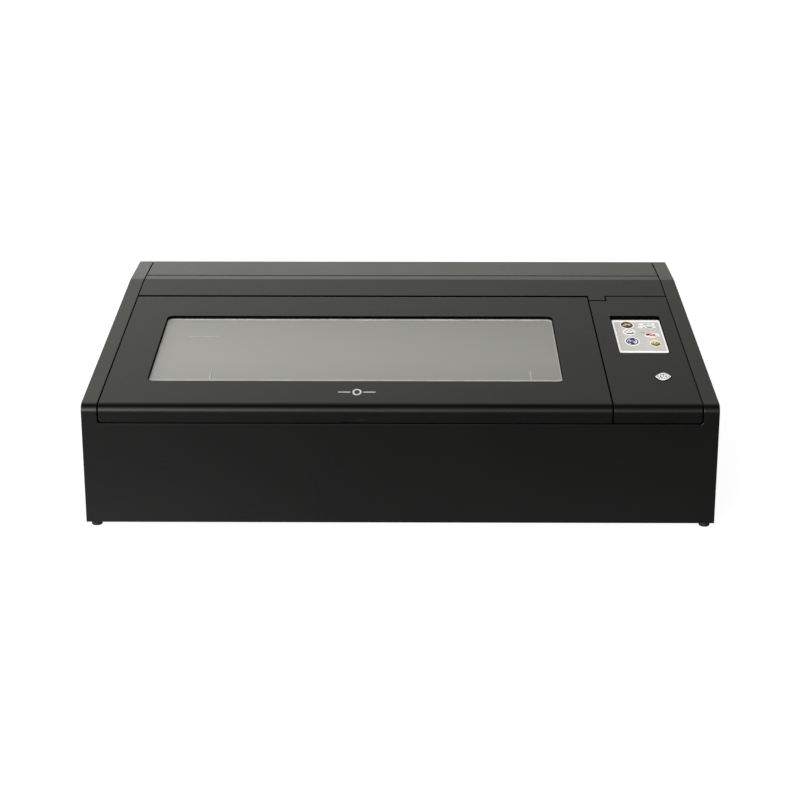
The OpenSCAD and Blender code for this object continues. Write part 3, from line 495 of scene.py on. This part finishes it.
def finish_edges(name, part, group):
    """Joins the CAD facets, rounds the hard edges and keeps large faces flat."""
    for polygon in part.data.polygons:
        polygon.use_smooth = True
    weld = part.modifiers.new("weld", "WELD")
    weld.merge_threshold = 0.000004
    dissolve = part.modifiers.new("flat_faces", "DECIMATE")
    dissolve.decimate_type = "DISSOLVE"
    dissolve.angle_limit = math.radians(0.15)
    width = BEVEL_WIDTHS.get(name)
    if width:
        bevel = part.modifiers.new("broken_edges", "BEVEL")
        bevel.width = width * MM
        bevel.segments = 4 if width >= 0.8 else 2
        bevel.limit_method = "ANGLE"
        bevel.angle_limit = math.radians(33)
        bevel.use_clamp_overlap = name not in SHEETS
    # Flat is in square metres
    add_crease(part, group, Angle=math.radians(16 if width else 30),
               Flat=2e-3 if name in SHEETS else 2e-4)


creases = crease_group()
for part_name, part in PARTS.items():
    finish_edges(part_name, part, creases)


# ---------------------------------------------------------------- mesh helpers
class Build:
    """Gathers closed solids into one mesh. Outlines are lists of (x, s) points, and at
    maps (x, s, n) to the frame."""

    def __init__(self):
        self.verts, self.faces = [], []

    def prism(self, outline, low, high, at=on_slope):
        """A solid over an outline between two heights."""
        base = len(self.verts)
        count = len(outline)
        for n in (low, high):
            self.verts += [at(x, s, n) for x, s in outline]
        self.faces.append([base + i for i in range(count)][::-1])
        self.faces.append([base + count + i for i in range(count)])
        for i in range(count):
            j = (i + 1) % count
            self.faces.append([base + i, base + j, base + count + j, base + count + i])

    def ring(self, outer, inner, low, high, at=on_slope):
        """A frame between two outlines with the same number of points."""
        base = len(self.verts)
        count = len(outer)
        for outline, n in ((outer, low), (outer, high), (inner, high), (inner, low)):
            self.verts += [at(x, s, n) for x, s in outline]
        for row in range(4):
            here = base + row * count
            there = base + (row + 1) % 4 * count
            for i in range(count):
                j = (i + 1) % count
                self.faces.append([here + i, here + j, there + j, there + i])

    def make(self, name, material, body="cabinet"):
        mesh = bpy.data.meshes.new(name)
        mesh.from_pydata([tuple(v) for v in self.verts], [], self.faces)
        bm = bmesh.new()
        bm.from_mesh(mesh)
        bmesh.ops.recalc_face_normals(bm, faces=bm.faces)
        bm.to_mesh(mesh)
        bm.free()
        piece = bpy.data.objects.new(name, mesh)
        scene.collection.objects.link(piece)
        mesh.materials.append(MATERIALS[material])
        for polygon in mesh.polygons:
            polygon.use_smooth = False
        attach(piece, body)
        return piece


def rect(x0, y0, x1, y1):
    return [(x0, y0), (x1, y0), (x1, y1), (x0, y1)]


def round_rect(x0, y0, x1, y1, radius, steps=6):
    """A rectangle with round corners, steps to each corner."""
    points = []
    left, right, low, high = x0 + radius, x1 - radius, y0 + radius, y1 - radius
    for cx, cy, start in ((right, high, 0), (left, high, 90), (left, low, 180), (right, low, 270)):
        for i in range(steps + 1):
            angle = math.radians(start + 90 * i / steps)
            points.append((cx + radius * math.cos(angle), cy + radius * math.sin(angle)))
    return points


def oval(cx, cy, rx, ry, steps=40):
    turns = [2 * math.pi * i / steps for i in range(steps)]
    return [(cx + rx * math.cos(t), cy + ry * math.sin(t)) for t in turns]


def cap(cx, cy, half_length, half_width, degrees=0, steps=24):
    """A bar with round ends, turned by an angle. No longer than wide, it is a circle."""
    radius = min(half_length, half_width)
    reach = half_length - radius
    cos, sin = math.cos(math.radians(degrees)), math.sin(math.radians(degrees))
    points = []
    for end, start in ((reach, -90), (-reach, 90)):
        for i in range(steps // 2 + 1):
            angle = math.radians(start + 180 * i / (steps // 2))
            u, v = end + radius * math.cos(angle), radius * math.sin(angle)
            points.append((cx + u * cos - v * sin, cy + u * sin + v * cos))
    return points


def arc_band(cx, cy, rx, ry, width, start, end, steps=20):
    """Part of an oval ring between two angles, its width a share of the radius."""
    turns = [math.radians(start + (end - start) * i / steps) for i in range(steps + 1)]
    outer = [(cx + rx * math.cos(t), cy + ry * math.sin(t)) for t in turns]
    inner = [(cx + (x - cx) * (1 - width), cy + (y - cy) * (1 - width)) for x, y in outer]
    return outer + inner[::-1]


# ---------------------------------------------------------------- honeycomb bed
CELL_PITCH, CELL_WALL = 9.0, 0.55


def hexagon(cx, cy, radius):
    turns = [math.radians(60 * i) for i in range(6)]
    return [(cx + radius * math.cos(t), cy + radius * math.sin(t)) for t in turns]


def honeycomb():
    """The bed's cells, centred in the CAD slab they replace, and a strip round it."""
    lo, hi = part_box("honeycomb")
    x0, y0, z0 = (v / MM for v in lo)
    x1, y1, z1 = (v / MM for v in hi)
    radius = CELL_PITCH / math.sqrt(3)
    inner_radius = radius - CELL_WALL / 2 / math.cos(math.radians(30))
    column_step = radius * 1.5
    columns = int((x1 - x0) / column_step) - 1
    rows = int((y1 - y0) / CELL_PITCH) - 1
    margin_x = (x1 - x0 - (columns * column_step + radius * 0.5)) / 2 + radius
    margin_y = (y1 - y0 - (rows + 0.5) * CELL_PITCH) / 2 + CELL_PITCH / 2
    cells = Build()
    for i in range(columns):
        for j in range(rows):
            cx = x0 + margin_x + i * column_step
            cy = y0 + margin_y + (j + (0.5 if i % 2 else 0)) * CELL_PITCH
            # a hair smaller, so that neighbouring cells don't touch
            cells.ring(hexagon(cx, cy, radius * 0.9995), hexagon(cx, cy, inner_radius),
                       z0, z1, at=upright)
    comb = cells.make("honeycomb_cells", "bead_blasted_aluminium")

    def border(inset):
        return round_rect(x0 + inset, y0 + inset, x1 - inset, y1 - inset, radius=1, steps=2)

    strip = Build()
    strip.ring(border(0.1), border(2.6), z0, z1, at=upright)
    strip.make("honeycomb_edge_strip", "bead_blasted_aluminium")
    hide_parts("honeycomb")


honeycomb()

# ---------------------------------------------------------------- display
DISPLAY_N = -6.4
OPENING_S0, OPENING_S1 = 247.6, 405.6


def display_opening():
    """The bezel's opening, its right side drawn in by up to 0.2 towards the front."""
    def drawn_in(x, s):
        return 0.2 * max(0.0, (OPENING_S1 - s) / (OPENING_S1 - OPENING_S0)) if x > 420 else 0
    outline = round_rect(378.1, OPENING_S0, 463.2, OPENING_S1, radius=3.4)
    return [(x - drawn_in(x, s), s) for x, s in outline]


def display():
    bezel = Build()
    bezel.ring(round_rect(371, 221, 467, 419, radius=4), display_opening(),
               low=DISPLAY_N + 0.03, high=DISPLAY_N + 0.16)
    bezel.make("display_bezel", "dark_engraved_ink")
    border = Build()
    border.prism(round_rect(377.0, 246.4, 463.4, 406.6, radius=2.6),
                 low=DISPLAY_N + 0.02, high=DISPLAY_N + 0.08)
    border.make("display_border", "display_white")
    line = Build()
    line.ring(round_rect(381.4, 256.9, 460.2, 394.9, radius=1.6),
              round_rect(381.9, 258.0, 459.7, 393.8, radius=1.3),
              low=DISPLAY_N + 0.10, high=DISPLAY_N + 0.15)
    line.make("display_page_line", "icon_line_grey")
    page = Build()
    page.prism(round_rect(381.7, 257.5, 459.9, 394.3, radius=1.4),
               low=DISPLAY_N + 0.10, high=DISPLAY_N + 0.145)
    page.make("display_page", "display_grey")


display()

# icon: its centre (x, s), then its parts as name, material, layer and outlines round
# that centre
ICONS = {
    "a": ((403.3, 381.2), [
        ("halo", "display_white", 0, [oval(0, 0, 12.0, 18.0)]),
        ("disc", "icon_umber", 1, [oval(0, 0, 10.6, 15.6)]),
        ("band", "icon_cream", 2, [cap(1.2, 2.2, 6.8, 1.9, -38), cap(-4.4, -3.4, 3.2, 1.3, -32)]),
        ("glow", "icon_orange", 3, [cap(-6.4, -0.5, 3.0, 1.2, 62), cap(5.2, 7.0, 3.4, 1.0, -30),
                                    cap(6.6, -1.0, 2.0, 1.6)]),
    ]),
    "b": ((437.7, 378.2), [
        ("halo", "display_white", 0, [cap(1.0, 6.4, 15.0, 4.6), cap(0, -7.4, 16.0, 4.6)]),
        ("rows", "icon_teal", 1, [cap(-11.5, 6.4, 1.0, 2.6), cap(-1.0, 6.8, 4.6, 2.0),
                                  cap(7.4, 7.2, 3.4, 1.5), cap(-12.4, -8.2, 1.3, 2.6),
                                  cap(12.6, -8.4, 0.9, 2.6)]),
        ("marks", "icon_deep_green", 1, [cap(-5.4, -9.2, 3.0, 1.6), cap(5.2, -8.2, 5.4, 2.4, 4),
                                         cap(0.2, -6.0, 1.6, 1.4)]),
    ]),
    "c": ((403.8, 347.1), [
        ("halo", "display_white", 0, [oval(0, -1, 11.4, 15)]),
        ("arch", "icon_grey", 1, [arc_band(0.6, -2, 7.4, 13.0, 0.2, 18, 162),
                                  cap(-7.4, -0.8, 2.0, 3.4, 20), cap(7.2, -5.4, 2.8, 3.4)]),
        ("base", "icon_slate", 2, [cap(0.4, -7.6, 6.8, 2.7), cap(0.8, 1.4, 2.2, 1.2)]),
    ]),
    "d": ((441.6, 331.7), [
        ("halo", "display_white", 0, [cap(1, -1, 13.2, 10.8, -14)]),
        ("body", "icon_red", 1, [cap(-1.6, 1.0, 8.6, 6.6, -16)]),
        ("window", "icon_navy", 2, [oval(-5.0, 3.0, 2.6, 3.4), oval(-1.2, 5.0, 1.6, 1.6)]),
        ("band", "icon_white", 2, [cap(0.8, 1.4, 3.6, 1.5, -30), cap(-4.6, -2.6, 2.4, 1.1, -20)]),
        ("lamp", "icon_orange", 2, [cap(-2.8, -4.6, 2.6, 2.0, -16), oval(8.0, -6.4, 3.0, 6.4)]),
        ("tail", "icon_cream", 3, [oval(8.2, -6.4, 1.6, 4.0), oval(7.8, 4.0, 1.4, 2.6)]),
        ("note", "icon_tan", 1, [cap(-14.4, 12.4, 3.6, 1.1), cap(-12.0, 9.7, 2.6, 0.9)]),
    ]),
    "e": ((404.7, 301.3), [
        ("halo", "display_white", 0, [oval(0, 0, 13.0, 21)]),
        ("disc", "icon_blue", 1, [oval(0, 0, 11.0, 17.2)]),
        ("ring", "icon_white", 2, [arc_band(0, 0, 8.6, 13.2, 0.14, 100, 250),
                                   arc_band(0, 0, 8.6, 13.2, 0.2, -60, 40)]),
        ("core", "icon_white", 2, [cap(-3.4, 2.2, 2.4, 3.6, 20), cap(3.8, -3.6, 2.6, 3.2, -20)]),
        ("dot", "icon_orange", 3, [oval(0.8, 1.2, 1.7, 2.6)]),
        ("dark", "icon_navy", 3, [oval(-0.6, -2.8, 2.2, 3.0), oval(-6.4, -4.2, 1.8, 2.8)]),
    ]),
    "f": ((444.3, 291.8), [
        ("halo", "display_white", 0, [oval(0, 0, 9.8, 14.6)]),
        ("base", "icon_olive", 1, [oval(0.3, -1.6, 8.4, 10.8)]),
        ("coin", "icon_gold", 2, [oval(-0.4, 2.6, 7.0, 8.0)]),
        ("shine", "icon_cream", 3, [arc_band(-0.4, 2.6, 5.0, 5.4, 0.24, 60, 200),
                                    oval(-0.8, 2.4, 1.8, 2.0)]),
        ("note", "icon_pale_beige", 1, [cap(-10.9, 13.8, 3.2, 1.2), cap(-12.5, 7.8, 2.4, 1.0)]),
    ]),
}
ICON_LIFT, LAYER_STEP, ICON_THICKNESS = 0.18, 0.05, 0.04


def icon_part(name, material, layer, outlines, centre):
    build = Build()
    low = DISPLAY_N + ICON_LIFT + LAYER_STEP * layer
    for outline in outlines:
        placed = [(centre[0] + x, centre[1] + s) for x, s in outline]
        build.prism(placed, low, low + ICON_THICKNESS)
    build.make(name, material)


for letter, (centre, icon_parts) in ICONS.items():
    for kind, material, layer, outlines in icon_parts:
        icon_part(f"icon_{letter}_{kind}", material, layer, outlines, centre)

# ---------------------------------------------------------------- start button marks
BUTTON_X, BUTTON_S = 437.5, slope_at(-246.9)
MARK_LEAN = 0.12
# place from the button's centre and radii: dx, ds, rx, rs
SYMBOL_DOTS = [
    (0, 9.0, 1.3, 2.7), (4.9, 1.2, 1.25, 2.4), (9.7, -1.4, 0.8, 1.8),
    (-2.2, -6.0, 1.4, 2.4), (0.7, 1.6, 0.9, 2.2),
]
RING_DOTS = [
    (-8.6, 1.4, 1.1, 3.6), (-4.2, 0.4, 0.9, 4.0), (-4.2, 9.4, 1.5, 1.4), (4.4, 9.6, 1.4, 1.3),
    (2.0, -8.2, 0.7, 2.2), (6.0, -6.0, 1.3, 1.7), (-6.2, -5.8, 1.3, 1.6),
]


def button_dots(name, material, dots, high):
    """Oval dots that lean to the right up the slope."""
    build = Build()
    for dx, ds, rx, rs in dots:
        dot = oval(BUTTON_X + dx, BUTTON_S + ds, rx, rs, steps=16)
        build.prism([(x + MARK_LEAN * (s - BUTTON_S), s) for x, s in dot], 0.8, high)
    build.make(name, material, body="button")


button_dots("button_symbol", "dark_engraved_ink", SYMBOL_DOTS, high=0.98)
button_dots("button_symbol_ring", "grey_engraved_ink", RING_DOTS, high=0.96)


# ---------------------------------------------------------------- lid
def lid_mark():
    """A printed oval ring between two bars, at the front of the lid."""
    x, s = -70.7, slope_at(-314.2)
    mark = Build()
    mark.ring(oval(x, s, 7.6, 13.2), oval(x, s, 4.6, 8.2), low=0.02, high=0.14)
    for side in (-1, 1):
        bar = cap(x + side * 20.5, s, half_length=10.5, half_width=1.7)
        mark.prism(bar, low=0.02, high=0.14)
    mark.make("lid_ring_mark", "white_screen_print", body="lid")


WINDOW_X0, WINDOW_X1 = -421.0, 271.5
WINDOW_S0, WINDOW_S1 = slope_at(-267), slope_at(36)
WINDOW_N = -4.58
# x, front end, back end
WINDOW_RIBS = [(-319, 117.3, 169.3), (217.8, 119.3, 157.3)]


def window_outline(side, front, back, radius):
    """The window's outline moved in at its sides, front and back."""
    return round_rect(WINDOW_X0 + side, WINDOW_S0 + front, WINDOW_X1 - side, WINDOW_S1 - back,
                      radius)


def window_details():
    ribs = Build()
    for x, s0, s1 in WINDOW_RIBS:
        ribs.prism(round_rect(x - 0.9, s0, x + 0.9, s1, radius=0.8, steps=4), WINDOW_N, -4.2)
    ribs.make("window_ribs", "pale_ribs_and_painted_trim_highlight", body="lid")
    # painted shade: a black ring round the edge of the window opening
    shade_ring = Build()
    shade_ring.ring(window_outline(side=0.08, front=0.1, back=0.1, radius=11.9),
                window_outline(side=2.0, front=0.45, back=5.5, radius=10.6), WINDOW_N, -3.65)
    shade_ring.make("window_painted_shade_ring", "black_rubber", body="lid")
    # painted highlight: a pale line inside the black ring
    edge_highlight = Build()
    edge_highlight.ring(window_outline(side=2.05, front=0.5, back=5.6, radius=10.5),
              window_outline(side=3.1, front=1.5, back=9.0, radius=9.6), WINDOW_N, -3.72)
    edge_highlight.make("window_painted_edge_highlight", "pale_painted_highlight", body="lid")
    # painted reflection: a pale bar on the window standing in for a glint
    bar = Build()
    bar.prism(cap(-346.4, 317.2, half_length=26.0, half_width=1.4, degrees=1.2), WINDOW_N, -4.3)
    bar.make("window_painted_glint_bar", "pale_painted_highlight", body="lid")


lid_mark()
window_details()


# ---------------------------------------------------------------- painted shade in the panel seams
def seam_painted_shade_strips():
    """Dark strips of painted shade down in the left and right seams of the slope, the flat top and
    the back.
    """
    shade_fill = Build()
    for side, front in ((-1, slope_at(146.5)), (1, 13.0)):
        x0, x1 = sorted((side * 487.2, side * 489.4))
        shade_fill.prism(rect(x0, front, x1, slope_at(232.5)), low=-6.5, high=-2.4)
        shade_fill.prism(rect(x0, 231.5, x1, 366.5), low=254.5, high=259.4, at=upright)
        shade_fill.prism(rect(x0, 361.0, x1, 369.4), low=181.0, high=261.5, at=upright)
    shade_fill.make("seam_painted_shade_strips", "black_rubber")
    rear_shade_fill = Build()
    # painted shade: a black strip behind the rear seam
    rear_shade_fill.prism(rect(-486.5, 365.4, 486.5, 366.85), low=172.5, high=186.0, at=upright)
    rear_shade_fill.make("rear_seam_painted_shade", "black_rubber")


seam_painted_shade_strips()


# ---------------------------------------------------------------- floor
def emptied_nodes(owner):
    owner.use_nodes = True
    owner.node_tree.nodes.clear()
    return Nodes(owner.node_tree)


def output_by_ray(nodes, output, lighting, seen):
    """The camera gets the seen shader, everything else the lighting one."""
    is_camera = nodes.node("ShaderNodeLightPath").outputs["Is Camera Ray"]
    surface = nodes.first("ShaderNodeMixShader", {0: is_camera, 1: lighting, 2: seen})
    nodes.node(output, {"Surface": surface})


def floor_material():
    """White for the camera. The object sees it brightest at the left and near the front."""
    material = bpy.data.materials.new("stage_white")
    nodes = emptied_nodes(material)
    white = nodes.first("ShaderNodeEmission", {"Strength": 0.93})
    shadow_catch = nodes.first("ShaderNodeBsdfDiffuse", {"Color": (0.30, 0.30, 0.30, 1)})
    seen = nodes.first("ShaderNodeAddShader", {0: white, 1: shadow_catch})
    x, y, _ = nodes.axes(nodes.node("ShaderNodeTexCoord").outputs["Object"])

    def span(value, low, high, levels):
        """Grey levels spread evenly from low to high."""
        stops = [(i / (len(levels) - 1), (v, v, v, 1)) for i, v in enumerate(levels)]
        return nodes.ramp(nodes.remap(value, 0, 1, low, high), stops)

    across = span(x, -1.5, 1.5, [0.38, 0.33, 0.25, 0.115, 0.095, 0.09, 0.09])
    along = span(y, -1.0, -0.37, [0.48, 0.97, 1.25, 1.65])
    level = nodes.mix(1, across, along, blend="MULTIPLY")
    lighting = nodes.first("ShaderNodeEmission", {"Color": level})
    output_by_ray(nodes, "ShaderNodeOutputMaterial", lighting, seen)
    return material


def stage_floor():
    half = 30
    mesh = bpy.data.meshes.new("stage_floor")
    corners = [(x, y, 0) for x, y in rect(-half, -half, half, half)]
    mesh.from_pydata(corners, [], [(0, 1, 2, 3)])
    floor = bpy.data.objects.new("stage_floor", mesh)
    scene.collection.objects.link(floor)
    mesh.materials.append(floor_material())


stage_floor()

# ---------------------------------------------------------------- room
# White for the camera. For light and reflections it is bright round the horizon,
# brightest at the left, and falls to dark overhead.
# degrees over the room from the rear horizon to the front one, level on the centre line,
# how fast it grows to the left, how fast it fades to the right
ROOM = [
    (0, 1.00, 0.9, 2.6), (8, 0.95, 0.9, 2.6), (14.5, 0.74, 0.9, 2.6), (20, 0.47, 1.4, 2.2),
    (25, 0.336, 1.85, 1.95), (28, 0.354, 2.5, 1.95), (40, 0.30, 2.6, 1.5), (51, 0.32, 2.6, 0.8),
    (62, 0.30, 3.2, 0.8), (71, 0.20, 4.2, 0.6), (77, 0.05, 4.2, 0.6), (84, 0.004, 2.6, 0.6),
    (104, 0.003, 2.6, 0.6), (119, 0.02, 3.8, 1.6), (133, 0.15, 5.6, 2.4), (147, 0.48, 6.0, 2.8),
    (160, 0.86, 6.2, 3.0), (172, 1.05, 6.2, 2.8), (180, 1.0, 6.2, 2.8),
]
RATE_SCALE = 10.0  # the rates are divided by this to be held as colours
LEFT_REACH, RIGHT_REACH = -0.32, 0.45  # the level stops changing beyond these x


def room_blue(degrees):
    """The share of blue, a little warmer towards the rear."""
    return 0.93 if degrees < 75 else 0.97


def room_world():
    world = bpy.data.worlds.new("room")
    scene.world = world
    nodes = emptied_nodes(world)
    x, y, z = nodes.axes(nodes.node("ShaderNodeTexCoord").outputs["Generated"])
    turn = nodes.math("ARCTAN2", z, y)
    turn = nodes.math("MULTIPLY", turn, 1 / math.pi, clamp=True)
    level = nodes.ramp(turn, [(degrees / 180, (v, v, v * room_blue(degrees), 1))
                              for degrees, v, _, _ in ROOM])
    rates = nodes.ramp(turn, [(degrees / 180, (left / RATE_SCALE, right / RATE_SCALE, 0, 1))
                              for degrees, _, left, right in ROOM])
    left_rate, right_rate, _ = nodes.node("ShaderNodeSeparateColor", {0: rates}).outputs
    left_x = nodes.math("MINIMUM", nodes.math("MAXIMUM", x, LEFT_REACH), 0.0)
    right_x = nodes.math("MAXIMUM", nodes.math("MINIMUM", x, RIGHT_REACH), 0.0)
    growth, fade = (
        nodes.math("MULTIPLY", reach, nodes.math("MULTIPLY", rate, -RATE_SCALE))
        for reach, rate in ((left_x, left_rate), (right_x, right_rate)))
    side = nodes.math("EXPONENT", nodes.math("ADD", growth, fade))
    light = nodes.first("ShaderNodeVectorMath", {0: level, "Scale": side}, operation="SCALE")
    lighting = nodes.first("ShaderNodeBackground", {"Color": light, "Strength": 1.0})
    seen = nodes.first("ShaderNodeBackground", {"Color": (1, 1, 1, 1), "Strength": 1.05})
    output_by_ray(nodes, "ShaderNodeOutputWorld", lighting, seen)


room_world()


# ---------------------------------------------------------------- lights and camera
def aim(thing, direction):
    thing.rotation_mode = "QUATERNION"
    thing.rotation_quaternion = direction.to_track_quat("-Z", "Y")


def soft_light(name, location, size, power):
    """A square light aimed at the cutter, left out of reflections and the camera's view."""
    light = bpy.data.lights.new(name, "AREA")
    light.shape = "RECTANGLE"
    light.size = light.size_y = size
    light.energy = power
    lamp = bpy.data.objects.new(name, light)
    scene.collection.objects.link(lamp)
    lamp.location = location
    aim(lamp, Vector((0, 0, 0.2)) - Vector(location))
    lamp.visible_glossy = False
    lamp.visible_camera = False


def add_camera():
    pitch_down, yaw_right = 0.31659, -0.006565
    data = bpy.data.cameras.new("camera")
    camera = bpy.data.objects.new("camera", data)
    scene.collection.objects.link(camera)
    data.sensor_width = 36
    data.lens = 87.331
    data.clip_start, data.clip_end = 0.05, 100
    camera.location = (0.019433, -3.33384, 1.189758)
    aim(camera, Vector((math.sin(yaw_right) * math.cos(pitch_down),
                        math.cos(yaw_right) * math.cos(pitch_down),
                        -math.sin(pitch_down))))
    scene.camera = camera


soft_light("key_soft", location=(-1.4, -0.8, 3.0), size=2.4, power=20)
soft_light("fill_soft", location=(1.8, -1.6, 2.4), size=2.0, power=6)
add_camera()
scene.view_settings.view_transform = "Standard"
scene.view_settings.look = "None"
scene.view_settings.exposure = 0
scene.view_settings.gamma = 1
